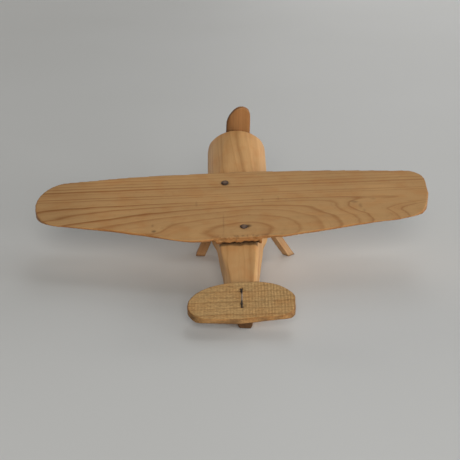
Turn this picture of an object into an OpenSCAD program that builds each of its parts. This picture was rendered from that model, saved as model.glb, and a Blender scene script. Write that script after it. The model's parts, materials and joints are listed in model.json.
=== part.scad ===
// Hand-whittled softwood toy aeroplane. A square block is carved into a fuselage that tapers to the tail.
// A one-piece wing is nailed flat on its top and a tailplane is stapled on behind it.
// Two splayed stick legs are nailed to its sides, and a two-bladed propeller spins on a nail.
// Every airframe piece is drawn level: x to starboard, y forward along the fuselage's top line,
// z up from that line, with y = 0 where the tail rests. attitude() then pitches it nose-up on its legs.

/* [Attitude] */
// Nose-up angle as it stands on its legs and tail (degrees)
nose_up = 16; // [15.5:0.1:16.5]
// Lean towards the left wing (degrees)
lean = 2.2; // [1.8:0.1:2.6]
// Height of the fuselage's top line above the floor where the tail rests
tail_height = 8.4; // [8.2:0.1:8.8]

/* [Fuselage] */
// Station of the nose face
nose_station = 155.2; // [150:0.1:158]
// Width of the block at the nose
nose_w = 32.4; // [31:0.1:33]
// Depth of the block at the nose
nose_depth = 28; // [26:0.5:29]
// Station where the block stops being square and starts to taper
taper_station = 98; // [96:1:104]
// Width at the tail end
tail_w = 11.2; // [10.4:0.1:12]
// Depth at the tail end
tail_depth = 8.4; // [8:0.1:8.6]

/* [Wing] */
// Reach of the left tip from the centreline
wing_left = 104; // [98:0.5:108]
// Reach of the right tip from the centreline
wing_right = 96.6; // [92:0.2:108]
// Station of the leading edge at the root
wing_le = 109; // [108:0.5:111]
// Station of the trailing edge at the root
wing_te = 48; // [46:0.5:49]
// Thickness of the wing board
wing_t = 5; // [4:0.1:6]

/* [Tailplane] */
// Thickness of the tailplane board
tailplane_t = 4; // [3.5:0.1:4.5]
// Reach of the left end from the centreline
tailplane_left = 25.3; // [23:0.1:27]
// Reach of the right end from the centreline
tailplane_right = 24; // [22:0.1:26]

/* [Propeller] */
// Blade length from the nail to the tip
blade_len = 29.2; // [26:0.2:31]
// Width of a blade near its tip
blade_w = 13.4; // [12:0.2:14]
// Width of the propeller at its hub
hub_w = 14; // [13:0.2:15]
// Thickness of the stick that the propeller is whittled from
hub_t = 6; // [5:0.1:7]
// Thickness of a carved blade
blade_t = 2.6; // [2:0.1:3.2]
// Pitch of the blades (degrees)
blade_pitch = 18; // [12:1:22]
// Lean of the upper blade towards the right, as it was left standing (degrees)
blade_lean = 4; // [-20:1:20]

/* [Legs] */
// Foot of the left leg
left_foot = [-21.4, 88.3, -33.2];
// Foot of the right leg
right_foot = [25.5, 87.6, -34.8];
// Splay of the left leg (degrees)
left_splay = 22.7; // [20:0.1:25]
// Splay of the right leg (degrees)
right_splay = 28.8; // [26:0.1:31]

/* [Nails and staple] */
// Radius of the propeller nail's shank
axle_r = 1.2; // [1:0.05:1.4]
// Radial running clearance of the propeller on its nail
axle_clearance = 0.06; // [0.02:0.01:0.1]
// Radius of a wing nail's shank
wing_nail_r = 0.9; // [0.7:0.05:1.1]
// Radius of a leg nail's shank
leg_nail_r = 0.7; // [0.5:0.05:0.8]
// Radius of the staple's wire
staple_r = 0.55; // [0.4:0.05:0.6]

/* [Hidden] */
$fn = 48;

// Colours of bare and handled wood, and of old steel
pine = [0.72, 0.56, 0.37];
pine_light = [0.78, 0.62, 0.43];
pine_dark = [0.60, 0.42, 0.25];
old_steel = [0.30, 0.29, 0.28];

// Place of the airframe's origin, which puts the standing model's box over the part's origin
stand_x = 3.8;
stand_y = -78.25;

// Fuselage sections
tail_end = -2.5;
slice = 0.01;
nose_shoulder = 10.5;
// Rise of the nose block's domed top ahead of the wing, above the line of the fuselage's top
nose_crown = 3.2;
// Where the dome starts, just ahead of the wing's leading edge
crown_station = 111;
// Station under the wing where the nose's round shoulders have become narrow chamfers, and their size there
chamfer_station = 62;
chamfer = 3.4;
nose_chine = 4;
tail_shoulder = 2.6;
tail_chine = 1.6;
rim = 1.3;
nose_shift = -0.4;

// Propeller and its nail
hub_z = -nose_depth / 2;
hub_gap = 0.6;
hub_front = nose_station + hub_gap + hub_t;
axle_head_gap = 0.4;
axle_head_r = 2.6;
axle_head_t = 1.2;
axle_bite = 16;

// Wing nails, driven down through the board
wing_nail_front_at = [-6.9, 98.7];
wing_nail_rear_at = [2, 59.4];
wing_nail_len = 20;
wing_nail_head_r = 1.9;
wing_nail_head_t = 0.9;

// Staple over the tailplane
staple_x = -0.4;
staple_front = 12.3;
staple_rear = -0.6;
staple_bite = 4.6;

// Leg sticks and their nails
left_stick = [4.6, 5.2];
right_stick = [4, 4];
left_turn = -8;
right_turn = -38;
leg_top_trim = 1.4;
leg_nail_len = 13;
leg_nail_head_r = 1.5;
leg_nail_head_t = 0.7;
leg_nail_drop = 2;
point_len = 2;
room = 60;

// Reach of the fuselage's tapered side from the centreline at station y, to port (-1) or starboard (1)
function taper(y) = (y - tail_end) / (taper_station - tail_end);
function side_x(side, y) = tail_w / 2 + ((nose_w - tail_w) / 2 + side * nose_shift) * taper(y);

// Points along an ellipse's arc
function ellipse_arc(centre, rx, ry, from, to, steps) =
    [for (i = [0:steps]) let (a = from + (to - from) * i / steps) centre + [rx * cos(a), ry * sin(a)]];

// Half of a section's outline from the top centre down: a shoulder of radius r and a chamfered lower edge
function half_section(half_w, depth, r, chine, steps) = concat(
    ellipse_arc([half_w - r, -r], r, r, 90, 0, steps),
    [[half_w, chine - depth], [half_w - chine, -depth]]
);

function mirrored(points) = [for (i = [len(points) - 1:-1:0]) [-points[i].x, points[i].y]];

// Half of the nose block's outline: an arch over its whole width that rises above the top line
function half_arch(half_w, depth, r, chine, crown) = concat(
    ellipse_arc([0, -r], half_w, r + crown, 90, 0, 8),
    [[half_w, chine - depth], [half_w - chine, -depth]]
);

// A thin slice of the fuselage at station y, shifted off the centreline and dropped below the top line
module section_at(y, half_w, depth, r, chine, steps, shift = 0, drop = 0, crown = 0) {
    half = crown > 0 ? half_arch(half_w, depth, r, chine, crown) : half_section(half_w, depth, r, chine, steps);
    translate([shift, y, -drop]) rotate([90, 0, 0]) linear_extrude(slice) polygon(concat(half, mirrored(half)));
}

// Moves a level airframe piece to where it stands on the floor
module attitude() {
    translate([stand_x, stand_y, tail_height]) rotate([nose_up, 0, 0]) rotate([0, -lean, 0]) children();
}

// Everything under the floor, which trims the soles and the tail's rest
module below_floor() {
    translate([-room, -2 * room, -room]) cube([2 * room, 4 * room, room]);
}

// A round nail that points down, its head's underside at z = 0
module nail(r, length, head_r, head_t) {
    cylinder(h = head_t, r = head_r);
    translate([0, 0, point_len - length]) cylinder(h = length - point_len, r = r);
    translate([0, 0, -length]) cylinder(h = point_len, r1 = 0.1, r2 = r);
}

// Turns a nail to point forward, or towards either side
module pointing_aft() { rotate([-90, 0, 0]) children(); }
module pointing_inward(side) { rotate([0, side * 90, 0]) children(); }

module carved_block() {
    hull() {
        section_at(tail_end, tail_w / 2, tail_depth, tail_shoulder, tail_chine, 1);
        section_at(chamfer_station, (side_x(1, chamfer_station) + side_x(-1, chamfer_station)) / 2,
            tail_depth + (nose_depth - tail_depth) * taper(chamfer_station), chamfer, tail_chine, 1,
            nose_shift * taper(chamfer_station));
        for (y = [taper_station, nose_station - rim])
            section_at(y, nose_w / 2, nose_depth, nose_shoulder, nose_chine, 4, nose_shift);
        section_at(nose_station, nose_w / 2 - rim, nose_depth - 2 * rim, nose_shoulder - rim, nose_chine, 4,
            nose_shift, rim);
    }
    // the domed nose
    hull() {
        section_at(crown_station, nose_w / 2, nose_depth, nose_shoulder, nose_chine, 4, nose_shift);
        section_at(nose_station - rim, nose_w / 2, nose_depth, nose_shoulder, nose_chine, 4, nose_shift,
            crown = nose_crown);
        section_at(nose_station, nose_w / 2 - rim, nose_depth - 2 * rim, nose_shoulder - rim, nose_chine, 4,
            nose_shift, rim, nose_crown);
    }
}

module fuselage() {
    color(pine_light) difference() {
        attitude() difference() {
            carved_block();
            translate([0, hub_front + axle_head_gap, hub_z]) pointing_aft() axle_shank();
            for (at = [wing_nail_front_at, wing_nail_rear_at])
                translate([at.x, at.y, wing_t]) nail(wing_nail_r, wing_nail_len, wing_nail_r, 1);
            staple_legs();
            leg_nail_at(-1) nail(leg_nail_r, leg_nail_len, leg_nail_r, 1);
            leg_nail_at(1) nail(leg_nail_r, leg_nail_len, leg_nail_r, 1);
        }
        below_floor();
    }
}

// Wedge under a board's edge that runs from a to b, with the board on the left of that line
module under_bevel(a, b, reach, cut) {
    past = 3;
    translate([a.x, a.y, 0]) rotate([0, 0, atan2(b.y - a.y, b.x - a.x)]) rotate([90, 0, 90])
        linear_extrude(norm(b - a))
            polygon([[reach, -1], [reach, 0], [-past, cut * (reach + past) / reach], [-past, -1]]);
}

function wing_outline() = concat(
    [[12, wing_te + 0.6], [23, wing_te + 3.2], [60, wing_te + 10.6], [77, wing_te + 12.8]],
    [[wing_right - 9.8, wing_te + 15.5], [wing_right - 5.4, wing_te + 18.6]],
    [[wing_right - 2.4, wing_te + 25], [wing_right, wing_te + 35.5]],
    ellipse_arc([wing_right - 10, wing_le - 14.5], 10, 10, 0, 90, 8),
    [[48, wing_le - 1.7], [0, wing_le], [-55, wing_le - 1.4]],
    ellipse_arc([16 - wing_left, wing_le - 24.5], 16, 19.5, 90, 270, 20),
    [[-64, wing_te + 12.5], [-46.6, wing_te + 7.6], [-34, wing_te + 2.8], [-24, wing_te + 0.6], [-13, wing_te]]
);

module wing() {
    bevel_reach = 10;
    bevel_cut = 4.2;
    left_root = [-13, wing_te - 2.6];
    right_root = [11, wing_te - 0.4];
    color(pine) attitude() difference() {
        linear_extrude(wing_t) polygon(wing_outline());
        under_bevel([-wing_left - 6, wing_te + 23], left_root, bevel_reach, bevel_cut);
        under_bevel(right_root, [wing_right + 8, wing_te + 19.4], bevel_reach, bevel_cut);
        for (at = [wing_nail_front_at, wing_nail_rear_at])
            translate([at.x, at.y, wing_t]) nail(wing_nail_r, wing_nail_len, wing_nail_r, 1);
    }
}

function tailplane_outline() = concat(
    [[18.1, -7.8], [tailplane_right - 1, -5.7], [tailplane_right, 0.5]],
    ellipse_arc([4, 3], tailplane_right - 3.5, 14.6, 12, 90, 8),
    ellipse_arc([-1, 1.5], tailplane_left - 1, 16, 90, 180, 12),
    ellipse_arc([-14, 1.5], tailplane_left - 14, 10.6, 180, 260, 8),
    [[-1.5, -9.5]]
);

module tailplane() {
    bevel_reach = 2;
    bevel_cut = 1.2;
    color(pine) attitude() difference() {
        linear_extrude(tailplane_t) polygon(tailplane_outline());
        under_bevel([-tailplane_left + 2, -7.8], [-1.5, -9.5], bevel_reach, bevel_cut);
        under_bevel([-1.5, -9.5], [tailplane_right, -6.6], bevel_reach, bevel_cut);
        staple_legs();
    }
}

// One blade's outline from behind: a rounded tip with a tighter corner on its right
function blade_outline() = concat(
    [[-hub_w / 2, 0], [hub_w / 2, 0]],
    ellipse_arc([blade_w / 2 - 6, blade_len - 6.5], 6, 6.5, 0, 90, 6),
    ellipse_arc([blade_w / 2 - 6, blade_len - 11], blade_w - 6, 11, 90, 180, 8)
);

module blade() {
    intersection() {
        rotate([90, 0, 0]) linear_extrude(hub_t, center = true) polygon(blade_outline());
        rotate([0, 0, blade_pitch]) translate([-blade_w, -blade_t / 2, 0]) cube([2 * blade_w, blade_t, room]);
    }
}

module propeller() {
    hub_len = 15;
    color(pine_dark) attitude() translate([0, hub_front - hub_t / 2, hub_z]) rotate([0, blade_lean, 0])
        difference() {
            union() {
                for (turn = [0, 180]) rotate([0, turn, 0]) blade();
                cube([hub_w, hub_t, hub_len], center = true);
            }
            rotate([90, 0, 0]) cylinder(h = 2 * hub_t, r = axle_r + axle_clearance, center = true);
        }
}

// Shank of the propeller's nail, its upper end at z = 0
module axle_shank() {
    axle_len = axle_head_gap + hub_t + hub_gap + axle_bite;
    nail(axle_r, axle_len, axle_r, slice);
}

module propeller_nail() {
    color(old_steel) attitude() translate([0, hub_front + axle_head_gap, hub_z]) pointing_aft() {
        axle_shank();
        cylinder(h = axle_head_t, r = axle_head_r);
    }
}

module wing_nail(at) {
    color(old_steel) attitude() translate([at.x, at.y, wing_t])
        nail(wing_nail_r, wing_nail_len, wing_nail_head_r, wing_nail_head_t);
}

module wing_nail_front() { wing_nail(wing_nail_front_at); }
module wing_nail_rear() { wing_nail(wing_nail_rear_at); }

module staple_legs() {
    for (y = [staple_front, staple_rear])
        translate([staple_x, y, -staple_bite]) cylinder(h = staple_bite + tailplane_t, r = staple_r);
}

module tail_staple() {
    crown = staple_front - staple_rear;
    color(old_steel) attitude() {
        staple_legs();
        translate([staple_x, staple_front, tailplane_t + staple_r]) rotate([90, 0, 0])
            cylinder(h = crown, r = staple_r);
        for (y = [staple_front, staple_rear]) translate([staple_x, y, tailplane_t]) {
            cylinder(h = staple_r, r = staple_r);
            translate([0, 0, staple_r]) sphere(r = staple_r);
        }
    }
}

// Places of the two leg nails, on the line where each stick's middle meets the fuselage's side
function leg_foot(side) = side < 0 ? left_foot : right_foot;
function leg_splay(side) = side < 0 ? left_splay : right_splay;
function leg_rise(side) = (abs(leg_foot(side).x) - side_x(side, leg_foot(side).y)) / tan(leg_splay(side));
function leg_skin(side, width) = width / 2 / cos(leg_splay(side)) + leg_nail_drop * tan(leg_splay(side));

module leg_nail_at(side) {
    foot = leg_foot(side);
    skin = leg_skin(side, side < 0 ? left_stick.x : right_stick.x * sqrt(2));
    translate([side * (side_x(side, foot.y) + skin), foot.y, foot.z + leg_rise(side) - leg_nail_drop])
        pointing_inward(side) children();
}

// A square stick that leans in from its foot, beds on the fuselage's side and is cut level on the floor
module leg(side, stick, turn) {
    foot = leg_foot(side);
    reach = leg_rise(side) / cos(leg_splay(side));
    top = side_x(side, foot.y) + leg_top_trim;
    difference() {
        attitude() difference() {
            translate(foot) rotate([0, -side * leg_splay(side), 0]) rotate([0, 0, turn])
                translate([-stick.x / 2, -stick.y / 2, -8]) cube([stick.x, stick.y, reach + 14]);
            translate([0, 0, -room]) linear_extrude(2 * room) polygon([
                [-side * room, 0], [side * side_x(side, 0), 0],
                [side * side_x(side, taper_station), taper_station], [-side * room, taper_station]
            ]);
            translate([side * top - (side < 0 ? 0 : room), 0, foot.z + leg_rise(side)])
                cube([room, 2 * room, room]);
            leg_nail_at(side) nail(leg_nail_r, leg_nail_len, leg_nail_head_r, room);
        }
        below_floor();
    }
}

module leg_left() { color(pine) leg(-1, left_stick, left_turn); }
module leg_right() { color(pine_light) leg(1, right_stick, right_turn); }

module leg_nail(side) {
    color(old_steel) attitude() leg_nail_at(side)
        nail(leg_nail_r, leg_nail_len, leg_nail_head_r, leg_nail_head_t);
}

module leg_left_nail() { leg_nail(-1); }
module leg_right_nail() { leg_nail(1); }

fuselage();
wing();
tailplane();
propeller();
leg_left();
leg_right();
wing_nail_front();
wing_nail_rear();
tail_staple();
propeller_nail();
leg_left_nail();
leg_right_nail();
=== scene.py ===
"""Looks of the whittled wooden toy aeroplane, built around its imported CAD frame.

Each wood piece starts as its CAD node. It is remeshed finely in the airframe's frame, knife-cut and worn
there, and then put back where the CAD stands. Nails and the staple are lathed and swept at the CAD's places.

The airframe's frame is in millimetres: x to starboard, y forward along the fuselage's top line, z up from it.
"""
import json
import math
from dataclasses import dataclass

import bmesh
import bpy
import numpy as np
from mathutils import Matrix, Vector


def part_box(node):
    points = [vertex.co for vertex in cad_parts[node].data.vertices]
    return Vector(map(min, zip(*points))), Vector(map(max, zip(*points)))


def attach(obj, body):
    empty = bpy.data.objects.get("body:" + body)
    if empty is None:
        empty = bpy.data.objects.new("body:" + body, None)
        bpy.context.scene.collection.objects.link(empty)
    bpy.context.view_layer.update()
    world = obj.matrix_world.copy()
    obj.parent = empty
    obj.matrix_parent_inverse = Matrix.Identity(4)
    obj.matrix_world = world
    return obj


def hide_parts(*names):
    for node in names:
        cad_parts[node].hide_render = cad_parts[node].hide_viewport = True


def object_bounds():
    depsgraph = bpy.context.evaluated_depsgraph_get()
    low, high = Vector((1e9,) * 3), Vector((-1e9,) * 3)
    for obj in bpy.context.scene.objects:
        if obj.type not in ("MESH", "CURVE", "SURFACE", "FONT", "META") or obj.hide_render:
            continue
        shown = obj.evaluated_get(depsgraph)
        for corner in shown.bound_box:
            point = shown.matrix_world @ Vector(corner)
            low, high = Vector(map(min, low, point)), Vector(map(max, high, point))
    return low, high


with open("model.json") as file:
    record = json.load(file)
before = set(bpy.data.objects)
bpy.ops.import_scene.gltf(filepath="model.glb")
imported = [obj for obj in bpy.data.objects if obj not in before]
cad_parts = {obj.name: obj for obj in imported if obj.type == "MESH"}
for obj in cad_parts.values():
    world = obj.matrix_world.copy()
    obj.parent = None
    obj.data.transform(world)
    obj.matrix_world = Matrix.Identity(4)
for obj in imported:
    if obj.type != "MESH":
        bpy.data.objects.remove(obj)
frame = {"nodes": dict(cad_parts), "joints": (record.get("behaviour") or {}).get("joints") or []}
cad_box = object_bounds()

MM = 0.001

# ---------------------------------------------------------------- the airframe's frame
# The propeller's joint gives the airframe's place and pitch. HUB is its point in airframe millimetres.
JOINT = frame["joints"][0]
NOSE_UP = math.asin(JOINT["axis"][2])
LEAN = math.radians(2.2)
HUB = (0.0, 158.8, -14.0)
ATTITUDE = Matrix.Rotation(NOSE_UP, 4, "X") @ Matrix.Rotation(-LEAN, 4, "Y")
ORIGIN = Vector(JOINT["pos_m"]) - ATTITUDE @ (Vector(HUB) * MM)
AIRFRAME = Matrix.Translation(ORIGIN) @ ATTITUDE @ Matrix.Scale(MM, 4)
TO_AIRFRAME = AIRFRAME.inverted()


def node_box(node):
    """A CAD node's lowest and highest corners in the airframe's frame."""
    points = np.array([TO_AIRFRAME @ vertex.co for vertex in frame["nodes"][node].data.vertices])
    return points.min(0), points.max(0)


def head_place(node):
    """Where a wing nail's head sits on the wing's top."""
    low, high = node_box(node)
    return (low[0] + high[0]) / 2, (low[1] + high[1]) / 2, WING_T


WING_T = node_box("wing")[1][2]
WING_TE = node_box("wing")[0][1]
TORN_BACK = 2.2
TORN_EDGE = WING_TE + TORN_BACK
TAIL_T = node_box("tailplane")[1][2]
NAIL_FRONT = head_place("wing_nail_front")
NAIL_REAR = head_place("wing_nail_rear")

STAPLE_LOW, STAPLE_HIGH = node_box("tail_staple")
STAPLE_X = (STAPLE_LOW[0] + STAPLE_HIGH[0]) / 2
STAPLE_CAD_RADIUS = (STAPLE_HIGH[0] - STAPLE_LOW[0]) / 2
STAPLE_FRONT = STAPLE_HIGH[1] - STAPLE_CAD_RADIUS
STAPLE_REAR = STAPLE_LOW[1] + STAPLE_CAD_RADIUS


def apply_matrix(points, matrix):
    m = np.array(matrix, float)
    return points @ m[:3, :3].T + m[:3, 3]


# ---------------------------------------------------------------- noise on arrays of points
def lattice(cell, seed):
    """A repeatable random value from 0 to 1 for each integer cell."""
    h = cell[:, 0] * 374761393 + cell[:, 1] * 668265263 + cell[:, 2] * 2246822519 + seed * 974711
    h &= 0xFFFFFFFF
    h = ((h ^ (h >> 13)) * 1274126177) & 0xFFFFFFFF
    return (h ^ (h >> 16)) / 4294967295.0


def noise(points, size, seed=0):
    """Smooth value noise from -1 to 1. size is the noise's grain along x, y and z, in millimetres."""
    p = points / np.array(size, float)
    base = np.floor(p).astype(np.int64)
    t = p - base
    t = t * t * (3 - 2 * t)
    total = np.zeros(len(p))
    for corner in np.ndindex(2, 2, 2):
        c = np.array(corner)
        weight = np.prod(np.where(c == 1, t, 1 - t), axis=1)
        total += weight * lattice(base + c, seed)
    return total * 2 - 1


def fractal(points, size, seed=0, octaves=3):
    size = np.array(size, float)
    return sum(noise(points, size / 2**i, seed + 17 * i) / 2**i for i in range(octaves)) / 1.75


def scallops(points, size, seed=0):
    """Knife cuts: 0 along the ridges between them, -1 in their middles. size is one cut's reach."""
    p = points / np.array(size, float)
    base = np.floor(p).astype(np.int64)
    nearest = np.full(len(p), 9.0)
    for step in np.ndindex(3, 3, 3):
        cell = base + np.array(step) - 1
        jitter = np.stack([lattice(cell, seed + k) for k in (1, 2, 3)], 1)
        nearest = np.minimum(nearest, ((cell + jitter - p) ** 2).sum(1))
    return np.clip(nearest, 0, 1) - 1


def smooth_step(low, high, value):
    """0 at low, 1 at high, smooth between. low may be the larger of the two."""
    t = np.clip((value - low) / (high - low), 0, 1)
    return t * t * (3 - 2 * t)


def near(points, centre, radius):
    """1 at centre, falling to 0 at radius."""
    offset = points - np.array(centre, float)
    return np.clip(1 - np.sqrt((offset**2).sum(1)) / radius, 0, 1)


# ---------------------------------------------------------------- fine meshes from CAD nodes
class Shape:
    """A fine copy of a CAD node in airframe millimetres, with arrays that stay in step with its mesh."""

    def __init__(self, node, voxel):
        bm = bmesh.new()
        bm.from_mesh(frame["nodes"][node].data)
        bmesh.ops.transform(bm, matrix=TO_AIRFRAME, verts=bm.verts)
        bmesh.ops.remove_doubles(bm, verts=bm.verts, dist=0.001)
        rough = bpy.data.meshes.new(node + "_rough")
        bm.to_mesh(rough)
        bm.free()
        holder = bpy.data.objects.new(node + "_rough", rough)
        bpy.context.scene.collection.objects.link(holder)
        remesh = holder.modifiers.new("fine", "REMESH")
        remesh.mode = "VOXEL"
        remesh.voxel_size = voxel
        bpy.context.view_layer.update()
        evaluated = holder.evaluated_get(bpy.context.evaluated_depsgraph_get())
        self.mesh = bpy.data.meshes.new_from_object(evaluated)
        bpy.data.objects.remove(holder)
        bpy.data.meshes.remove(rough)
        self.co = self._read(self.mesh.vertices, "co", 3).reshape(-1, 3)
        self.edges = self._read(self.mesh.edges, "vertices", 2, np.int32).reshape(-1, 2)
        self.degree = np.bincount(self.edges.ravel(), minlength=len(self.co)).astype(float)
        self.low, self.high = self.co.min(0), self.co.max(0)

    @staticmethod
    def _read(items, name, width, kind=np.float32):
        data = np.zeros(len(items) * width, kind)
        items.foreach_get(name, data)
        return data.astype(float) if kind is np.float32 else data

    def average(self, values):
        """Mean of each point's neighbours."""
        a, b = self.edges.T
        total = np.zeros_like(values)
        for k in range(values.shape[1]):
            total[:, k] = np.bincount(a, values[b, k], len(values)) + np.bincount(b, values[a, k], len(values))
        return total / self.degree[:, None]

    def relax(self, rounds, share=0.5):
        for _ in range(rounds):
            self.co += (self.average(self.co) - self.co) * share

    def normals(self):
        self.mesh.vertices.foreach_set("co", self.co.astype(np.float32).ravel())
        self.mesh.update()
        return self._read(self.mesh.vertices, "normal", 3).reshape(-1, 3)

    def push(self, amount):
        """Moves each point along its normal, in millimetres."""
        self.co += self.normals() * amount[:, None]

    def convexity(self, rounds=6):
        """How sharply the surface turns outwards at each point, in millimetres."""
        smooth = self.co.copy()
        for _ in range(rounds):
            smooth += (self.average(smooth) - smooth) * 0.7
        bulge = ((self.co - smooth) * self.normals()).sum(1)
        for _ in range(2):
            bulge = self.average(bulge[:, None])[:, 0]
        return bulge

    def edge_wear(self, low=0.06, high=0.3, rounds=6):
        """0 on flats to 1 on sharp outward edges, between two convexities."""
        return smooth_step(low, high, self.convexity(rounds))


# No point is lower than this, so soles with rounded edges don't dip into the floor
FLOOR_CLEARANCE = 0.02 * MM


def paint_marks(mesh, wear, end, stain_and_shade):
    """Stores wear, end grain (with painted shade on some rims) and dark stain (with painted shade and shadows
    in places), each 0 to 1, as the colour attribute that materials read.
    """
    layer = mesh.attributes.new("marks", "FLOAT_COLOR", "POINT")
    colours = np.ones((len(mesh.vertices), 4), np.float32)
    colours[:, 0], colours[:, 1], colours[:, 2] = wear, end, stain_and_shade
    layer.data.foreach_set("color", np.clip(colours, 0, 1).ravel())
    mesh.polygons.foreach_set("use_smooth", np.ones(len(mesh.polygons), bool))


def finish_piece(name, shape, node, body, material, marks):
    """Turns a Shape into a riding piece. marks is (wear, end grain with painted shade on some rims, dark stain
    with painted shade in places).
    """
    co = apply_matrix(np.clip(shape.co, shape.low, shape.high), AIRFRAME)
    co[:, 2] = np.maximum(co[:, 2], FLOOR_CLEARANCE)
    mesh = shape.mesh
    mesh.vertices.foreach_set("co", co.astype(np.float32).ravel())
    mesh.update()
    mesh.name = name
    paint_marks(mesh, *marks)
    return place(name, mesh, node, body, material)


def place(name, mesh, node, body, material):
    piece = bpy.data.objects.new(name, mesh)
    bpy.context.scene.collection.objects.link(piece)
    mesh.materials.clear()
    mesh.materials.append(material)
    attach(piece, body)
    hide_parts(node)
    return piece


# ---------------------------------------------------------------- materials
class Nodes:
    """Short calls that add shader nodes to one material."""

    def __init__(self, name):
        self.material = bpy.data.materials.new(name)
        self.material.use_nodes = True
        self.tree = self.material.node_tree
        self.tree.nodes.clear()

    def add(self, kind, **settings):
        node = self.tree.nodes.new("ShaderNode" + kind)
        for key, value in settings.items():
            setattr(node, key, value)
        return node

    def link(self, source, target):
        """Links a socket to target, or sets target to a plain value."""
        if isinstance(source, bpy.types.NodeSocket):
            self.tree.links.new(source, target)
        else:
            target.default_value = source

    def math(self, operation, *values, clamp=False):
        node = self.add("Math", operation=operation, use_clamp=clamp)
        for value, socket in zip(values, node.inputs):
            self.link(value, socket)
        return node.outputs[0]

    def noise(self, vector, scale, detail=2.0, roughness=0.5, stretch=None):
        if stretch is not None:
            vector = self.scaled(vector, stretch)
        node = self.add("TexNoise")
        self.link(vector, node.inputs["Vector"])
        node.inputs["Scale"].default_value = scale
        node.inputs["Detail"].default_value = detail
        node.inputs["Roughness"].default_value = roughness
        return node.outputs["Fac"]

    def scaled(self, vector, factors):
        node = self.add("VectorMath", operation="MULTIPLY")
        self.link(vector, node.inputs[0])
        node.inputs[1].default_value = factors
        return node.outputs[0]

    def split(self, vector):
        node = self.add("SeparateXYZ")
        self.link(vector, node.inputs[0])
        return node.outputs

    def fade(self, value, start, end, at_start, at_end):
        """A smooth change from at_start to at_end while value goes from start to end."""
        node = self.add("MapRange", interpolation_type="SMOOTHSTEP")
        self.link(value, node.inputs["Value"])
        node.inputs["From Min"].default_value = start
        node.inputs["From Max"].default_value = end
        node.inputs["To Min"].default_value = at_start
        node.inputs["To Max"].default_value = at_end
        return node.outputs[0]

    def ramp(self, value, stops):
        """stops is a list of (position, level or colour)."""
        node = self.add("ValToRGB")
        self.link(value, node.inputs[0])
        ramp = node.color_ramp
        while len(ramp.elements) < len(stops):
            ramp.elements.new(0.5)
        for element, (position, colour) in zip(ramp.elements, stops):
            element.position = position
            element.color = (*colour, 1) if isinstance(colour, tuple) else (colour, colour, colour, 1)
        return node.outputs["Color"]

    def grey(self, level):
        node = self.add("CombineColor")
        for socket in list(node.inputs)[:3]:
            self.link(level, socket)
        return node.outputs[0]

    def mix(self, factor, a, b, blend="MIX"):
        node = self.add("Mix", data_type="RGBA", blend_type=blend)
        self.link(factor, node.inputs[0])
        self.link(a, node.inputs[6])
        self.link(b, node.inputs[7])
        return node.outputs[2]

    def finish(self, colour, roughness, height, bump, specular, metallic=0.0):
        shader = self.add("BsdfPrincipled")
        self.link(colour, shader.inputs["Base Color"])
        self.link(roughness, shader.inputs["Roughness"])
        shader.inputs["Specular IOR Level"].default_value = specular
        shader.inputs["Metallic"].default_value = metallic
        bumper = self.add("Bump")
        bumper.inputs["Strength"].default_value = bump
        bumper.inputs["Distance"].default_value = 0.1 * MM
        self.link(height, bumper.inputs["Height"])
        self.link(bumper.outputs[0], shader.inputs["Normal"])
        output = self.add("OutputMaterial")
        self.link(shader.outputs[0], output.inputs["Surface"])
        return self.material


def srgb(r, g, b):
    """A linear colour, with alpha, from display values of 0 to 255."""
    return (*(((v / 255 + 0.055) / 1.055) ** 2.4 for v in (r, g, b)), 1)


@dataclass
class Timber:
    """How one kind of softwood looks. early and late are display colours, and lengths are in millimetres."""

    name: str
    early: tuple
    late: tuple
    spacing: float
    contrast: float
    wander: float = 2.2
    ripple: float = 0.7
    uneven_years: float = 1.1
    weak_years: float = 0.5
    ridge: float = 0.5
    roughness: float = 0.58
    sawn: bool = False
    port_streaks: bool = False


BLOCK_PINE = Timber("pine_block", (191, 147, 96), (156, 108, 60), spacing=2.9, contrast=0.6)
BOARD_PINE = Timber(
    "pine_board", (178, 138, 90), (146, 98, 52), spacing=2.45, contrast=0.8, wander=1.1, port_streaks=True
)
SAWN_PINE = Timber(
    "sawn_board", (180, 145, 96), (142, 104, 60), spacing=3.6, contrast=0.75, ripple=1.6, uneven_years=0.3,
    weak_years=0.35, ridge=1.4, roughness=0.68, sawn=True
)
HANDLED_PINE = Timber("handled_pine", (144, 99, 56), (106, 66, 34), spacing=2.6, contrast=0.5)
LEFT_STICK = Timber("leg_left_stick", (176, 134, 92), (140, 98, 60), spacing=1.9, contrast=0.6)
RIGHT_STICK = Timber("leg_right_stick", (166, 130, 90), (136, 98, 60), spacing=1.9, contrast=0.6)

# Filters that multiply the wood's colour, and the colour of deep stains and painted shade
HANDLED_TINT = (0.93, 0.72, 0.55, 1)
SAW_TINT = (0.66, 0.55, 0.45, 1)
END_GRAIN_AND_SHADE_TINT = (0.66, 0.53, 0.4, 1)
RUBBED_TINT = (0.78, 0.6, 0.4, 1)
STAIN_AND_SHADE = srgb(52, 34, 20)

# One year's ring: how much late wood there is across it
RING_PROFILE = [
    (0.0, 0.2), (0.08, 0.0), (0.4, 0.04), (0.48, 0.26), (0.56, 0.06), (0.76, 0.3), (0.9, 1.0), (1.0, 0.3),
]
SAW_PITCH = 1.45


def grain_frame(origin, along, up):
    """A frame whose x runs along the grain, placed in airframe millimetres."""
    x = Vector(along).normalized()
    z = (Vector(up) - Vector(up).project(x)).normalized()
    y = z.cross(x)
    local = Matrix((x, y, z)).transposed().to_4x4()
    return AIRFRAME @ Matrix.Translation(Vector(origin)) @ local


def grain_space(n, grain):
    """Each point's place in the grain's frame, in millimetres."""
    coordinates = n.add("TexCoord")
    mapping = n.add("Mapping", vector_type="TEXTURE")
    location, rotation, scale = grain.decompose()
    mapping.inputs["Location"].default_value = location
    mapping.inputs["Rotation"].default_value = rotation.to_euler("XYZ")
    mapping.inputs["Scale"].default_value = scale
    n.link(coordinates.outputs["Object"], mapping.inputs["Vector"])
    return mapping.outputs[0]


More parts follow.
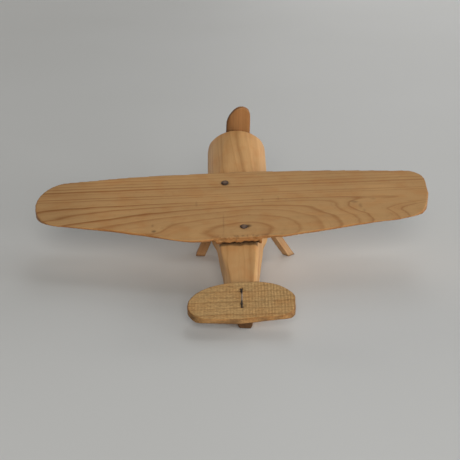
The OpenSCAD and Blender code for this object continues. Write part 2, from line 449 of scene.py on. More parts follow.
def late_wood(n, at, radius, timber):
    """0 in early wood to 1 in late wood, for rings that wander and differ from year to year."""
    drift = n.noise(at, 1.0, detail=2.0, stretch=(0.012, 0.06, 0.06))
    ripple = n.noise(at, 1.0, detail=1.0, stretch=(0.06, 0.3, 0.3))
    radius = n.math("MULTIPLY_ADD", drift, timber.wander, radius)
    radius = n.math("MULTIPLY_ADD", ripple, timber.ripple, radius)
    count = n.math("DIVIDE", radius, timber.spacing)
    # noise of the count itself makes some years wide and others narrow
    years = n.add("TexNoise", noise_dimensions="1D")
    n.link(count, years.inputs["W"])
    years.inputs["Scale"].default_value = 0.9
    years.inputs["Detail"].default_value = 2.0
    count = n.math("MULTIPLY_ADD", years.outputs["Fac"], timber.uneven_years, count)
    share = n.ramp(n.math("FRACT", count), RING_PROFILE)
    vary = n.add("TexWhiteNoise", noise_dimensions="1D")
    n.link(n.math("FLOOR", count), vary.inputs["W"])
    strength = n.math("MULTIPLY_ADD", vary.outputs["Value"], timber.weak_years, 1 - timber.weak_years)
    return n.math("MULTIPLY", share, strength)


def wood_colour(n, at, late_share, fibre, timber):
    """Early and late wood, varied by fibres, streaks and clouds, with redder patches where it was handled."""
    streak = n.noise(at, 1.0, detail=3.0, roughness=0.6, stretch=(0.018, 0.5, 0.5))
    cloud = n.noise(at, 1.0, detail=3.0, roughness=0.55, stretch=(0.03, 0.06, 0.06))
    patch = n.noise(at, 1.0, detail=2.0, stretch=(0.11, 0.16, 0.16))
    share = n.math("MULTIPLY", late_share, timber.contrast, clamp=True)
    colour = n.mix(share, srgb(*timber.early), srgb(*timber.late))
    tone = n.math("MULTIPLY_ADD", fibre, 0.22, 0.89)
    tone = n.math("MULTIPLY", tone, n.math("MULTIPLY_ADD", streak, 0.24, 0.88))
    tone = n.math("MULTIPLY", tone, n.math("MULTIPLY_ADD", cloud, 0.26, 0.87))
    colour = n.mix(1.0, colour, n.grey(tone), "MULTIPLY")
    warm = n.ramp(patch, [(0.45, 0.0), (0.75, 0.5)])
    return n.mix(warm, colour, HANDLED_TINT, "MULTIPLY")


def sawn_face(n, at, x, colour, height):
    """Fine cross ridges from the saw's teeth, deeper towards starboard, on a fuzzy mottled face."""
    wobble = n.noise(at, 1.0, detail=2.0, stretch=(0.2, 0.08, 0.1))
    phase = n.math("MULTIPLY_ADD", wobble, 1.2, x)
    teeth = n.math("SINE", n.math("MULTIPLY", phase, 2 * math.pi / SAW_PITCH))
    deep = n.ramp(n.math("MULTIPLY_ADD", x, 1 / 50, 0.5), [(0.1, 0.45), (0.5, 0.6), (0.75, 1.0)])
    patchy = n.noise(at, 1.0, detail=3.0, stretch=(0.35, 0.25, 0.3))
    teeth = n.math("MULTIPLY", teeth, deep)
    teeth = n.math("MULTIPLY", teeth, n.ramp(patchy, [(0.35, 0.25), (0.6, 1.0)]))
    fuzz = n.noise(at, 1.0, detail=5.0, roughness=0.7, stretch=(0.6, 1.6, 1.6))
    colour = n.mix(n.math("MULTIPLY_ADD", teeth, 0.12, 0.12), colour, SAW_TINT, "MULTIPLY")
    colour = n.mix(0.8, colour, n.ramp(fuzz, [(0.32, 0.55), (0.5, 1.0), (0.66, 1.25)]), "MULTIPLY")
    height = n.math("ADD", height, n.math("MULTIPLY", teeth, -0.9))
    height = n.math("ADD", height, n.math("MULTIPLY", fuzz, 1.6))
    return colour, height


def aged_and_shaded(n, at, colour):
    """End grain drinks dirt and is tinted darker, as are rims with painted shade; worn edges are rubbed warm
    brown; stains, painted shade and painted shadows are dark.
    """
    marks = n.add("Attribute", attribute_name="marks")
    wear, end, stain_and_shade = n.split(marks.outputs["Color"])
    speckle = n.noise(at, 3.0, detail=3.0, roughness=0.6)
    colour = n.mix(n.math("MULTIPLY", end, 0.9), colour, END_GRAIN_AND_SHADE_TINT, "MULTIPLY")
    rubbed = n.math("MULTIPLY", wear, n.math("MULTIPLY_ADD", speckle, 0.8, 0.45), clamp=True)
    colour = n.mix(rubbed, colour, RUBBED_TINT, "MULTIPLY")
    dark = n.math("MULTIPLY", stain_and_shade, n.math("MULTIPLY_ADD", speckle, 0.5, 0.75), clamp=True)
    return n.mix(dark, colour, STAIN_AND_SHADE)


def wood(timber, grain, rings):
    """Softwood. rings(n, x, y, z) gives a point's distance from the pith, in the grain's frame."""
    n = Nodes(timber.name)
    at = grain_space(n, grain)
    x, y, z = n.split(at)
    late_share = late_wood(n, at, rings(n, x, y, z), timber)
    if timber.port_streaks:
        late_share = n.math("MULTIPLY", late_share, n.fade(x, -20.0, -50.0, 1.0, 1.6))
    fibre = n.noise(at, 1.0, detail=4.0, roughness=0.65, stretch=(0.09, 2.6, 2.6))
    colour = wood_colour(n, at, late_share, fibre, timber)
    height = n.math("ADD", n.math("MULTIPLY", late_share, timber.ridge), n.math("MULTIPLY", fibre, 0.5))
    if timber.sawn:
        colour, height = sawn_face(n, at, x, colour, height)
    colour = aged_and_shaded(n, at, colour)
    rough = n.math("MULTIPLY_ADD", fibre, 0.2, timber.roughness)
    rough = n.math("MULTIPLY_ADD", late_share, -0.08, rough)
    return n.finish(colour, rough, height, bump=0.55, specular=0.25)


def straight_rings(pith_y, pith_z):
    """Rings round a pith that runs along the grain."""

    def rings(n, _, y, z):
        across = n.math("SUBTRACT", y, pith_y)
        depth = n.math("SUBTRACT", z, pith_z)
        return hypotenuse(n, across, depth)

    return rings


def hypotenuse(n, a, b):
    return n.math("SQRT", n.math("MULTIPLY_ADD", a, a, n.math("MULTIPLY", b, b)))


# The wing's two knots: x, y, half length, half width, and how far they lift the rings
KNOTS = ((61.0, 76.0, 9.0, 4.5, 2.0), (-42.0, 59.5, 6.0, 3.5, 1.1))
PITH_Y = 55.0
PITH_SLANT = 0.07
PITH_BEND = 25.0


def board_rings(n, x, y, z):
    """The wing's flat-sawn board. Its pith runs under the trailing edge and dives away towards both tips."""
    # near the leading edge the rings run straight from tip to tip
    curved = n.fade(y, 69.0, 88.0, 1.0, 0.12)
    right = n.math("MULTIPLY", n.math("MAXIMUM", x, 0.0), curved)
    left = n.math("MULTIPLY", n.math("MINIMUM", x, 0.0), curved)
    across = n.math("SUBTRACT", y, n.math("MULTIPLY_ADD", right, PITH_SLANT, PITH_Y))
    rounded = n.math("SQRT", n.math("MULTIPLY_ADD", right, right, PITH_BEND**2))
    dive = n.math("MULTIPLY_ADD", rounded, 0.28, 16.1)
    dive = n.math("MULTIPLY_ADD", left, -0.08, dive)
    depth = n.math("ADD", dive, n.math("SUBTRACT", WING_T, z))
    radius = hypotenuse(n, across, depth)
    for knot_x, knot_y, long, wide, rise in KNOTS:
        dx = n.math("MULTIPLY", n.math("SUBTRACT", x, knot_x), 1 / long)
        dy = n.math("MULTIPLY", n.math("SUBTRACT", y, knot_y), 1 / wide)
        away = n.math("MULTIPLY_ADD", dx, dx, n.math("MULTIPLY", dy, dy))
        swirl = n.math("EXPONENT", n.math("MULTIPLY", away, -1.0))
        radius = n.math("MULTIPLY_ADD", swirl, rise, radius)
    return radius


def steel(name, dark, bright, metallic):
    """Old browned steel, bright where it is worn. dark and bright are linear colours."""
    n = Nodes(name)
    coordinates = n.add("TexCoord")
    marks = n.add("Attribute", attribute_name="marks")
    worn, _, grime_and_shade = n.split(marks.outputs["Color"])
    at = n.scaled(coordinates.outputs["Object"], (1 / MM, 1 / MM, 1 / MM))
    pits = n.noise(at, 2.2, detail=4.0, roughness=0.65)
    blotch = n.noise(at, 0.7, detail=3.0)
    show = n.math("MULTIPLY", worn, n.math("MULTIPLY_ADD", pits, 1.2, 0.3), clamp=True)
    colour = n.mix(show, dark, bright)
    colour = n.mix(n.ramp(blotch, [(0.45, 0.0), (0.7, 0.7)]), colour, srgb(84, 54, 36))
    # darkened by grime on the nails and by painted shade near the staple's bends
    colour = n.mix(grime_and_shade, colour, srgb(34, 24, 18))
    rough = n.math("MULTIPLY_ADD", pits, 0.35, 0.42)
    return n.finish(colour, rough, pits, bump=0.5, specular=0.5, metallic=metallic)


# ---------------------------------------------------------------- camera, light and floor
CAMERA_ELEVATION = math.radians(20)
CAMERA_HEADING = math.radians(-0.9)
CAMERA_DISTANCE = 0.565
CAMERA_LENS = 88.9
# The aim point's offset from the middle of the CAD box along x and y, and its height over the floor
CAMERA_AIM = (-1.15 * MM, -17.6 * MM, 26 * MM)

# Softboxes: name, heading from behind the camera towards starboard, elevation, watts, colour
SOFTBOXES = (
    ("room", 0, 26, 35.5, (1.0, 0.985, 0.95)),
    ("window_1", 30, 9, 21.0, (0.97, 0.99, 1.0)),
    ("window_2", 60, 9, 15.0, (0.97, 0.99, 1.0)),
    ("window_3", 90, 9, 9.5, (0.97, 0.99, 1.0)),
    ("window_4", 120, 9, 20.0, (0.97, 0.99, 1.0)),
    ("window_top", 95, 45, 2.6, (0.97, 0.99, 1.0)),
    ("left_wall", 222, 9, 15.5, (1.0, 0.95, 0.86)),
    ("far_wall", 166, 9, 6.8, (1.0, 0.99, 0.98)),
    ("far_top", 172, 45, 4.4, (0.99, 0.995, 1.0)),
    ("ceiling", 144, 70, 4.3, (0.99, 0.995, 1.0)),
)
SOFTBOX_SIZE = 1.1
SOFTBOX_DISTANCE = 2.4
SOFTBOX_TARGET = Vector((0, 0, 20 * MM))

FLOOR_HALF = 4.0


def camera():
    """Low behind the tail and a little above, a long lens at about arm's length."""
    low, high = Vector(cad_box[0]), Vector(cad_box[1])
    middle = (low + high) / 2
    aim = Vector((middle.x, middle.y, low.z)) + Vector(CAMERA_AIM)
    back = Matrix.Rotation(CAMERA_HEADING, 3, "Z") @ Vector(
        (0, -math.cos(CAMERA_ELEVATION), math.sin(CAMERA_ELEVATION))
    )
    data = bpy.data.cameras.new("camera")
    data.sensor_width = 36
    data.lens = CAMERA_LENS
    data.clip_start = 0.01
    ob = bpy.data.objects.new("camera", data)
    ob.location = aim + back * CAMERA_DISTANCE
    ob.rotation_euler = (-back).to_track_quat("-Z", "Y").to_euler()
    bpy.context.scene.collection.objects.link(ob)
    bpy.context.scene.camera = ob


def softbox(name, heading, elevation, power, colour):
    a, e = math.radians(heading), math.radians(elevation)
    outward = Vector((math.sin(a) * math.cos(e), -math.cos(a) * math.cos(e), math.sin(e)))
    data = bpy.data.lights.new(name, "AREA")
    data.shape = "DISK"
    data.size = SOFTBOX_SIZE
    data.energy = power
    data.color = colour
    ob = bpy.data.objects.new(name, data)
    ob.location = SOFTBOX_TARGET + outward * SOFTBOX_DISTANCE
    ob.rotation_euler = (-outward).to_track_quat("-Z", "Y").to_euler()
    bpy.context.scene.collection.objects.link(ob)


def studio():
    scene = bpy.context.scene
    scene.view_settings.view_transform = "Standard"
    world = bpy.data.worlds.new("studio")
    scene.world = world
    world.use_nodes = True
    background = world.node_tree.nodes["Background"]
    background.inputs["Color"].default_value = (0.97, 0.985, 1.0, 1)
    background.inputs["Strength"].default_value = 0.02
    for light in SOFTBOXES:
        softbox(*light)


def paper_floor():
    mesh = bpy.data.meshes.new("floor")
    corners = [(-1, -1), (1, -1), (1, 1), (-1, 1)]
    mesh.from_pydata([(x * FLOOR_HALF, y * FLOOR_HALF, 0) for x, y in corners], [], [(0, 1, 2, 3)])
    floor = bpy.data.objects.new("floor", mesh)
    bpy.context.scene.collection.objects.link(floor)
    n = Nodes("floor_paper")
    coordinates = n.add("TexCoord")
    cloud = n.noise(coordinates.outputs["Object"], 3.0, detail=2.0)
    colour = n.ramp(cloud, [(0.3, (0.60, 0.60, 0.585)), (0.7, (0.63, 0.63, 0.62))])
    fine = n.noise(coordinates.outputs["Object"], 1500.0, detail=2.0)
    mesh.materials.append(n.finish(colour, 0.62, fine, bump=0.05, specular=0.28))


# ---------------------------------------------------------------- fuselage
LEADING_EDGE = 112
TAILPLANE_FRONT = 18
NOSE_FACE = 155


def cut_fuselage(shape):
    """Long knife cuts along the sides, faint ones on top and short ones across the end faces."""
    p = shape.co.copy()
    y = p[:, 1]
    normal = shape.normals()
    flat_top = smooth_step(0.9, 0.99, normal[:, 2])
    under_board = ((y < LEADING_EDGE) & (y > WING_TE - 1)) | (y < TAILPLANE_FRONT)
    end_face = smooth_step(0.8, 0.95, np.abs(normal[:, 1]))
    sides = (1 - flat_top) * (1 - end_face)
    rear = smooth_step(70, 40, y)
    nose = smooth_step(105, 120, y)
    drift = np.stack([noise(p, (30, 22, 30), 71), np.zeros(len(p)), noise(p, (30, 26, 30), 72)], 1)
    cuts = scallops(p + drift * 0.8, (6.5, 900, 6.0), 3) * (0.2 + 0.25 * nose)
    cuts += scallops(p, (3.2, 60, 3.4), 8) * 0.10
    cuts += (noise(p, (9, 11, 9), 28) - 0.6) * 0.22 * rear
    amount = cuts * sides
    amount += scallops(p, (7.0, 900, 30), 5) * 0.07 * flat_top * (1 - flat_top * under_board)
    amount += scallops(p, (6.0, 30, 4.0), 21) * 0.35 * end_face
    amount += fractal(p, (1.2, 14, 1.2), 31) * 0.03
    # the cuts only go inwards, so the skin starts slightly proud
    shape.push(amount + (0.12 + 0.26 * nose) * (1 - flat_top * (1 - nose)))


def pare_fuselage(shape):
    """Leaner places behind the legs. x is a view, so changing it moves the points."""
    x, y, z = shape.co.T
    # the tail's end is narrower below the tailplane
    pared = smooth_step(6.0, -1.0, y) * smooth_step(-0.8, -3.5, z)
    x += (0.9 - 0.4 * x) * pared
    # the sides lean in below the wing
    waist = smooth_step(12, 45, y) * smooth_step(84.5, 72, y)
    x *= 1 - 0.12 * waist * smooth_step(-0.6, -3.4, z)
    # near the wing the port arris runs wider, and near the tail the starboard one does
    on_top = smooth_step(-3.0, -0.3, z)
    port_arris = on_top * smooth_step(28, 52, y) * smooth_step(84, 60, y)
    x -= 1.7 * port_arris * smooth_step(-3, -8, x)
    starboard_arris = on_top * smooth_step(0, 12, y) * smooth_step(50, 30, y)
    x += 0.8 * starboard_arris * smooth_step(1.5, 5.5, x)


def make_fuselage():
    shape = Shape("fuselage", 0.55)
    shape.relax(2)
    cut_fuselage(shape)
    pare_fuselage(shape)
    shape.relax(1, 0.3)
    wear = shape.edge_wear(0.05, 0.28)
    end = smooth_step(0.75, 0.97, np.abs(shape.normals()[:, 1]))
    p = shape.co
    _, y, z = p.T
    ragged_y = y + 0.5 * noise(p, (2.2, 9, 9), 51)
    # painted shade: the fuselage's top is darkened from the wing's torn trailing edge forwards, under the wing
    painted_shade_under_wing = smooth_step(TORN_EDGE - 0.2, TORN_EDGE + 1.0, ragged_y) * smooth_step(70, 60, y)
    painted_shade_under_wing *= smooth_step(-1.2, -0.5, z)
    # painted shade: the tail's end below the tailplane is darkened
    painted_shade_tail_end = smooth_step(2.5, -1.0, y) * smooth_step(-1.0, -4.0, z)
    nail_hole = near(p, (HUB[0], NOSE_FACE, HUB[2]), 4.5)
    stain_and_shade = np.maximum.reduce([painted_shade_under_wing * 0.75, painted_shade_tail_end * 0.85, nail_hole * 0.6])
    material = wood(BLOCK_PINE, grain_frame((0, 0, 0), (0, 1, 0), (0, 0, 1)), straight_rings(30.0, -42.0))
    marks = (wear, end, stain_and_shade)
    return finish_piece("fuselage_block", shape, "fuselage", "airframe", material, marks)


# ---------------------------------------------------------------- wing
# Small dark flecks on the wing's top: place, half sizes, darkness
WING_FLECKS = (
    ((58.0, 77.5), (3.0, 1.5), 0.34),
    ((61.0, 74.0), (1.4, 2.6), 0.26),
    ((68.0, 79.5), (2.4, 1.1), 0.2),
    ((62.5, 69.5), (0.9, 2.4), 0.2),
    ((-43.2, 62.8), (0.9, 1.8), 0.34),
    ((-42.4, 58.0), (1.6, 1.3), 0.6),
    ((-38.5, 60.5), (1.4, 0.9), 0.22),
    ((-21.6, 80.5), (0.9, 3.8), 0.2),
    ((12.0, 82.0), (0.8, 3.2), 0.14),
    ((20.0, 83.0), (0.8, 3.4), 0.18),
    ((-8.0, 63.0), (0.6, 12.0), 0.24),
)
FLECK_DEPTH = 2.0


def cut_wing(shape):
    """Knife cuts round the rim and planing waves on the faces."""
    p = shape.co.copy()
    face = smooth_step(0.93, 0.995, np.abs(shape.normals()[:, 2]))
    rim = 1 - face
    amount = scallops(p, (11, 9, 5), 4) * 0.3 * rim
    amount += scallops(p, (60, 22, 30), 12) * 0.10 * face
    amount += fractal(p, (16, 0.9, 0.9), 7) * 0.02
    shape.push(amount + 0.22 * rim)


def tear_trailing_edge(shape):
    """Over the fuselage the edge was broken off across the fibres and never cleaned up.

    Returns how torn each point is, its fibres, and the dark gap under the torn edge.
    """
    p = shape.co.copy()
    x, y, z = p.T
    over_body = smooth_step(-17.0, -12.0, x) * smooth_step(19.0, 13.0, x)
    near_edge = smooth_step(WING_TE + 5.0, WING_TE + 2.0, y)
    torn = over_body * near_edge
    fibres = fractal(p, (0.9, 2.0, 0.7), 41, 2)
    splinters = smooth_step(0.2, 0.7, noise(p, (1.1, 5, 0.8), 43))
    set_back = smooth_step(-26.0, -8.5, x) * smooth_step(24.0, 13.0, x) * near_edge
    shape.co[:, 1] += TORN_BACK * set_back + torn * (0.7 * fibres - 0.9 * splinters)
    # beside the fuselage's flat top the broken edge is thinner, and over it the underside broke further in
    thin = 0.35 * smooth_step(8.3, 12.0, np.abs(x)) * near_edge * over_body
    shape.co[:, 2] = WING_T - (WING_T - shape.co[:, 2]) * (1 - thin)
    ragged = 2.0 + 0.5 * noise(p, (1.6, 9, 9), 47) + 0.35 * noise(p, (0.6, 9, 9), 48)
    gap = torn * smooth_step(ragged + 0.35, ragged - 0.35, z) * smooth_step(10.4, 8.6, np.abs(x + 0.1))
    shape.co[:, 1] += gap * 1.3
    return torn, fibres, gap


def dent_round_wing_nails(shape):
    for at, reach in ((NAIL_FRONT, 3.4), (NAIL_REAR, 3.6)):
        dent = near(shape.co * (1, 1, 0.3), np.array(at) * (1, 1, 0.3), reach)
        shape.co[:, 2] -= 0.45 * smooth_step(0, 1, dent) * (shape.co[:, 2] > WING_T - 1.5)


def wing_stain_and_shade(shape, torn, fibres, gap):
    """Rust round the nails, the torn edge's painted shadows, painted shade darkening the port tip, and small
    flecks.
    """
    p = shape.co
    rear_streak = near((p - np.array(NAIL_REAR)) * (0.6, 1, 0.5), (0.9, 0.5, 0), 1.9)
    stain_and_shade = np.maximum.reduce([
        smooth_step(0, 0.7, near(p, NAIL_FRONT, 2.9)) * 0.9,
        smooth_step(0, 0.8, rear_streak) * 0.9,
        gap * 0.97,
        torn * smooth_step(-0.1, 0.7, fibres) * 0.45,
        # painted shade: the port tip is darkened
        smooth_step(-66, -92, p[:, 0]) * 0.16,
    ])
    ragged = 0.3 * noise(p, (1.2, 0.8, 2), 61)
    for (x, y), (half_x, half_y), dark in WING_FLECKS:
        offset = (p - np.array((x, y, WING_T))) / (half_x, half_y, FLECK_DEPTH)
        fleck = near(offset, (0, 0, 0), 1.0) + ragged
        stain_and_shade = np.maximum(stain_and_shade, smooth_step(0.05, 0.8, fleck) * dark)
    return stain_and_shade


def make_wing():
    shape = Shape("wing", 0.55)
    shape.relax(2)
    cut_wing(shape)
    torn, fibres, gap = tear_trailing_edge(shape)
    dent_round_wing_nails(shape)
    shape.relax(1, 0.3)
    wear = shape.edge_wear()
    normal = shape.normals()
    tips = smooth_step(0.6, 0.95, np.abs(normal[:, 0]))
    broken = 0.9 * torn * smooth_step(0.8, 0.4, normal[:, 2])
    # painted shade: the rear-facing rim is darkened with the end-grain tint
    painted_shade_rear_rim = 0.8 * smooth_step(0.3, 0.8, -normal[:, 1])
    end = np.maximum.reduce([tips, broken, painted_shade_rear_rim])
    material = wood(BOARD_PINE, grain_frame((0, 0, 0), (1, 0, 0), (0, 0, 1)), board_rings)
    marks = (wear, end, wing_stain_and_shade(shape, torn, fibres, gap))
    return finish_piece("wing_board", shape, "wing", "airframe", material, marks)


# ---------------------------------------------------------------- tailplane
# The clipped rear starboard corner's reach along x and y
CLIP_X, CLIP_Y = 3.4, 4.2


def cut_tailplane(shape):
    """Saw ridges on the faces, knife cuts and a broken bevel round the rim."""
    p = shape.co.copy()
    face = smooth_step(0.9, 0.99, np.abs(shape.normals()[:, 2]))
    deep = 0.6 + 0.4 * smooth_step(-8, 12, p[:, 0])
    phase = p[:, 0] + 0.5 * noise(p, (9, 12, 9), 2)
    saw = np.sin(2 * np.pi * phase / SAW_PITCH) * deep * (0.6 + 0.4 * noise(p, (3, 4, 4), 6))
    amount = face * (saw * 0.032 + fractal(p, (1.5, 0.7, 0.8), 9) * 0.05 - 0.05)
    amount += (1 - face) * (scallops(p, (6, 5, 3.2), 14) * 0.32)
    bevel = shape.edge_wear(0.05, 0.25, 8) * smooth_step(0.5, 2.5, p[:, 2])
    amount -= bevel * (0.28 + 0.12 * noise(p, (5, 5, 5), 19))
    shape.push(amount + 0.15 * (1 - face))


def clip_corner(shape):
    x, y, _ = shape.co.T
    edge_x = shape.high[0]
    edge_y = y[x > edge_x - 4].min()
    corner = (x - edge_x + CLIP_X) / CLIP_X + (edge_y + CLIP_Y - y) / CLIP_Y - 1
    corner = np.maximum(corner, 0)
    shape.co[:, 0] -= corner * CLIP_X / 2
    shape.co[:, 1] += corner * CLIP_Y / 2


def dent_under_staple(shape):
    for y, inward in ((STAPLE_FRONT, -0.9), (STAPLE_REAR, 0.9)):
        dent = near(shape.co, (STAPLE_X, y + inward, TAIL_T), 1.9)
        shape.co[:, 2] -= 0.5 * dent * (shape.co[:, 2] > TAIL_T - 1.2)


def make_tailplane():
    shape = Shape("tailplane", 0.32)
    shape.relax(4)
    cut_tailplane(shape)
    clip_corner(shape)
    dent_under_staple(shape)
    shape.relax(1, 0.35)
    wear = shape.edge_wear(0.03, 0.16, 8)
    p = shape.co
    end = smooth_step(0.97, 0.8, shape.normals()[:, 2]) * (0.75 + 0.25 * noise(p, (5, 3, 2), 33))
    stain_and_shade = end * np.clip(0.38 + 0.4 * noise(p, (2.5, 2.5, 2.5), 37), 0, 1)
    # painted shadows: dark marks in the dents just inside the staple's bends
    for y in (STAPLE_FRONT - 1.9, STAPLE_REAR + 2.1):
        painted_shadow_mark = near((p - np.array((STAPLE_X, y, TAIL_T))) * (1, 0.6, 1), (0, 0, 0), 0.95)
        stain_and_shade = np.maximum(stain_and_shade, smooth_step(0, 0.6, painted_shadow_mark) * 0.95)
    material = wood(SAWN_PINE, grain_frame((0, 0, 0), (1, 0, 0), (0, 0, 1)), straight_rings(-46.0, -22.0))
    marks = (wear, end, stain_and_shade)
    return finish_piece("tailplane_board", shape, "tailplane", "airframe", material, marks)


# ---------------------------------------------------------------- propeller and legs
BLADE_HALF_WIDTH = 6.7
PROPELLER_GRAIN_LEAN = math.radians(4)


def make_propeller():
    shape = Shape("propeller", 0.3)
    shape.relax(6)
    local = shape.co - np.array(HUB)
    shape.push(scallops(local, (4.5, 3.5, 9), 6) * 0.3 + fractal(local, (0.8, 0.8, 6), 3) * 0.02 + 0.2)
    # the blades' backs were rounded off towards both edges
    blade = smooth_step(6.0, 12.0, np.abs(local[:, 2])) * smooth_step(0.5, -1.0, local[:, 1])
    shape.co[:, 1] += 1.3 * blade * (local[:, 0] / BLADE_HALF_WIDTH) ** 2
    shape.relax(1, 0.4)
    wear = shape.edge_wear(0.04, 0.22)
    normal = shape.normals()
    tips = smooth_step(0.7, 0.98, np.abs(normal[:, 2])) * 0.3
    # painted shade: edges facing port are darkened with the end-grain tint
    painted_shade_port_edge = smooth_step(-0.25, -0.7, normal[:, 0]) * 0.8
    local = shape.co - np.array(HUB)
    nail_grime = np.maximum(near(local, (0, 3, 0), 4.6), near(local, (0, -3, 0), 4.6)) * 0.6
    # the upper blade is darker towards the port side
    port_side_darker = 0.5 * smooth_step(4.0, -6.0, local[:, 0]) * smooth_step(4.0, 9.0, local[:, 2])
    along = (math.sin(PROPELLER_GRAIN_LEAN), 0, math.cos(PROPELLER_GRAIN_LEAN))
    material = wood(HANDLED_PINE, grain_frame(HUB, along, (0, 1, 0)), straight_rings(14.0, 20.0))
    marks = (wear, np.maximum(tips, painted_shade_port_edge), np.maximum(nail_grime, port_side_darker))
    return finish_piece("propeller_blades", shape, "propeller", "propeller", material, marks)


def make_leg(name, node, splay, seed, timber):
    shape = Shape(node, 0.22)
    shape.relax(4)
    p = shape.co.copy()
    shape.push(scallops(p, (2.6, 2.6, 12), seed) * 0.24 + fractal(p, (0.6, 0.6, 7), seed + 2) * 0.025 + 0.15)
    shape.relax(1, 0.4)
    wear = shape.edge_wear(0.03, 0.16)
    height_mm = apply_matrix(shape.co, AIRFRAME)[:, 2] / MM
    end = smooth_step(0.8, 0.1, height_mm)
    stain_and_shade = smooth_step(1.8, 0.0, height_mm) * 0.45
    grain = grain_frame((0, 0, 0), (math.sin(splay), 0, math.cos(splay)), (0, 1, 0))
    material = wood(timber, grain, straight_rings(9.0, 100.0))
    return finish_piece(name, shape, node, "airframe", material, (wear, end, stain_and_shade))


# ---------------------------------------------------------------- nails and staple
def tube(path, radii, sides):
    """Rings of points swept along a path, with closed ends: returns vertices and faces."""
    path = [Vector(p) for p in path]
    verts, faces = [], []
    axis = (path[1] - path[0]).normalized()
    side = axis.orthogonal().normalized()
    for i, point in enumerate(path):
        ahead = path[min(i + 1, len(path) - 1)] - path[max(i - 1, 0)]
        axis = ahead.normalized()
        side = (side - side.project(axis)).normalized()
        across = axis.cross(side)
        for k in range(sides):
            a = 2 * math.pi * k / sides
            verts.append(point + (side * math.cos(a) + across * math.sin(a)) * radii[i])
    for i in range(len(path) - 1):
        for k in range(sides):
            m = (k + 1) % sides
            faces.append((i * sides + k, i * sides + m, (i + 1) * sides + m, (i + 1) * sides + k))
    faces.append(tuple(reversed(range(sides))))
    faces.append(tuple(range((len(path) - 1) * sides, len(path) * sides)))
    return np.array([tuple(v) for v in verts]), faces


def metal_piece(name, local, faces, to_airframe, node, material, worn, grime_and_shade):
    """local is the points in the fastener's own millimetres. worn and the darkening, which is grime on the
    nails and painted shade near the staple's bends, go from 0 to 1.
    """
    mesh = bpy.data.meshes.new(name)
    placed = apply_matrix(apply_matrix(local, to_airframe), AIRFRAME)
    mesh.from_pydata([tuple(v) for v in placed], [], faces)
    mesh.update()
    paint_marks(mesh, worn, 0, grime_and_shade)
    return place(name, mesh, node, "airframe", material)


@dataclass
class NailSize:
    """Millimetres. length is from the point to the head's underside."""

    radius: float
    length: float
    head_r: float
    head_t: float


# Slightly slimmer and shorter than the CAD's nails
WING_NAIL = NailSize(0.86, 19.7, 1.9, 0.85)
PROPELLER_NAIL = NailSize(1.19, 22.9, 2.6, 1.2)
LEG_NAIL = NailSize(0.68, 12.9, 1.5, 0.68)
NAIL_POINT = 2.0
NAIL_SUNK = 0.25
# Half of the CAD leg nail's whole length, and how thick its head is
LEG_NAIL_HALF_LENGTH = 6.85
LEG_NAIL_HEAD_CAD = 0.7
# The propeller's hub, and the gap between it and the nail's head
HUB_HALF_DEPTH = 3.0
HUB_PLAY = 0.4


def nail_profile(size):
    """Radius and height pairs from the point up to the crown. The head's underside is at height 0."""
    shank = size.length - NAIL_POINT
    profile = [(0.05, -size.length), (size.radius * 0.55, -size.length + NAIL_POINT * 0.6)]
    profile += [(size.radius, -size.length + NAIL_POINT)]
    profile += [(size.radius, -size.length + NAIL_POINT + shank * t) for t in (0.25, 0.5, 0.75, 0.97)]
    profile += [(size.radius * 1.15, -0.1)]
    edge = ((0.9, 0.0), (0.985, 0.16), (1.0, 0.4), (0.97, 0.66), (0.86, 0.86))
    profile += [(size.head_r * r, size.head_t * z) for r, z in edge]
    profile += [(size.head_r * r, size.head_t * (1 - 0.1 * r * r)) for r in (0.7, 0.5, 0.3, 0.12)]
    return profile


def nail(name, node, matrix, size, material, seed, clip=0.0):
    """A driven wire nail pointing down local z, its head hammered. clip is the share missing on one side."""
    profile = nail_profile(size)
    co, faces = tube([(0, 0, z) for _, z in profile], [r for r, _ in profile], 32)
    head = smooth_step(-0.1, 0.2, co[:, 2])
    dents = 0.10 + 0.10 * noise(co, (1.1, 1.1, 5), seed)
    co[:, 2] -= head * dents * smooth_step(size.head_t * 0.5, size.head_t, co[:, 2])
    rim = 1 + 0.05 * noise(co, (1.6, 1.6, 9), seed + 3) * head
    co[:, 0] *= np.minimum(rim, 1.0)
    co[:, 1] *= np.minimum(rim * (1 - clip * head), 1.0)
    out = np.hypot(co[:, 0], co[:, 1]) / size.head_r
    worn = smooth_step(0.85, 0.2, out) * smooth_step(0, size.head_t, co[:, 2])
    grime_and_shade = smooth_step(0.7, 1.0, out) * 0.7 + (co[:, 2] < 0) * 0.4
    return metal_piece(name, co, faces, matrix, node, material, worn, grime_and_shade)


def make_nails(material):
    for name, node, at, seed, clip in (
        ("nail_wing_front", "wing_nail_front", NAIL_FRONT, 2, 0.06),
        ("nail_wing_rear", "wing_nail_rear", NAIL_REAR, 9, 0.3),
    ):
        sunk = Matrix.Translation(Vector(at) - Vector((0, 0, NAIL_SUNK)))
        nail(name, node, sunk, WING_NAIL, material, seed, clip)
    head_at = (HUB[0], HUB[1] + HUB_HALF_DEPTH + HUB_PLAY, HUB[2])
    forward = Matrix.Translation(head_at) @ Matrix.Rotation(math.radians(-90), 4, "X")
    nail("nail_propeller", "propeller_nail", forward, PROPELLER_NAIL, material, 5)
    for side, name, node in ((-1, "nail_leg_left", "leg_left_nail"), (1, "nail_leg_right", "leg_right_nail")):
        low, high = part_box(node)
        middle = TO_AIRFRAME @ ((low + high) / 2)
        head_at = middle + Vector((side * (LEG_NAIL_HALF_LENGTH - LEG_NAIL_HEAD_CAD), 0, 0))
        inward = Matrix.Translation(head_at) @ Matrix.Rotation(side * math.radians(90), 4, "Y")
        nail(name, node, inward, LEG_NAIL, material, 11 + side)


STAPLE_WIRE = 0.38
STAPLE_BEND = 0.9
STAPLE_BITE = 4.6
STAPLE_TIP = 0.12


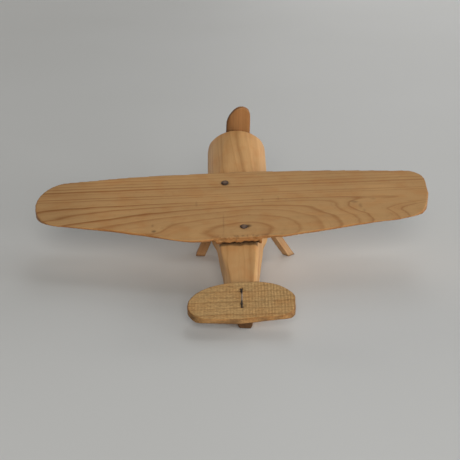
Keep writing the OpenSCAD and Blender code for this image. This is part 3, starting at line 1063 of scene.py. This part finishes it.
def staple_path():
    """From one driven leg over the slightly sagging crown to the other leg, fore to aft."""
    top = TAIL_T + 0.05
    corner = top - STAPLE_BEND
    front, rear = STAPLE_FRONT, STAPLE_REAR
    crown = front - rear - 2 * STAPLE_BEND
    path = [(0, front, -STAPLE_BITE), (0, front, 0), (0, front, corner)]
    for a in np.linspace(0.25, math.pi / 2, 6):
        path.append((0, front - STAPLE_BEND * (1 - math.cos(a)), corner + STAPLE_BEND * math.sin(a)))
    for t in np.linspace(0.1, 0.9, 9):
        sag = -0.12 * math.sin(math.pi * t) + 0.05 * math.sin(9 * t)
        sway = 0.18 * math.sin(math.pi * t * 1.3)
        path.append((sway, front - STAPLE_BEND - crown * t, top + min(sag, 0)))
    for a in np.linspace(0, math.pi / 2 - 0.25, 6):
        path.append((0, rear + STAPLE_BEND * (1 - math.sin(a)), corner + STAPLE_BEND * math.cos(a)))
    return path + [(0, rear, corner), (0, rear, 0), (0, rear, -STAPLE_BITE)]


def make_staple(material):
    """A light wire staple with its legs driven through the sawn board."""
    path = staple_path()
    radii = [STAPLE_TIP] + [STAPLE_WIRE] * (len(path) - 2) + [STAPLE_TIP]
    co, faces = tube(path, radii, 16)
    from_middle = np.abs(co[:, 1] - (STAPLE_FRONT + STAPLE_REAR) / 2)
    worn = smooth_step(2.9, 1.9, from_middle) * smooth_step(TAIL_T - 0.2, TAIL_T + 0.2, co[:, 2])
    # painted shade: the wire is darkened towards both bends, where it sinks into the dented board
    grime_and_shade = smooth_step(2.0, 2.8, from_middle)
    at = Matrix.Translation((STAPLE_X, 0, 0))
    metal_piece("staple_tail", co, faces, at, "tail_staple", material, worn, grime_and_shade)


# ---------------------------------------------------------------- build
camera()
studio()
paper_floor()
make_fuselage()
make_wing()
make_tailplane()
make_propeller()
make_leg("stick_leg_left", "leg_left", math.radians(22.7), 5, LEFT_STICK)
make_leg("stick_leg_right", "leg_right", math.radians(-28.8), 9, RIGHT_STICK)
make_nails(steel("old_steel", srgb(58, 40, 28), srgb(124, 98, 76), metallic=0.1))
make_staple(steel("staple_wire", srgb(62, 46, 35), srgb(170, 152, 130), metallic=0.25))
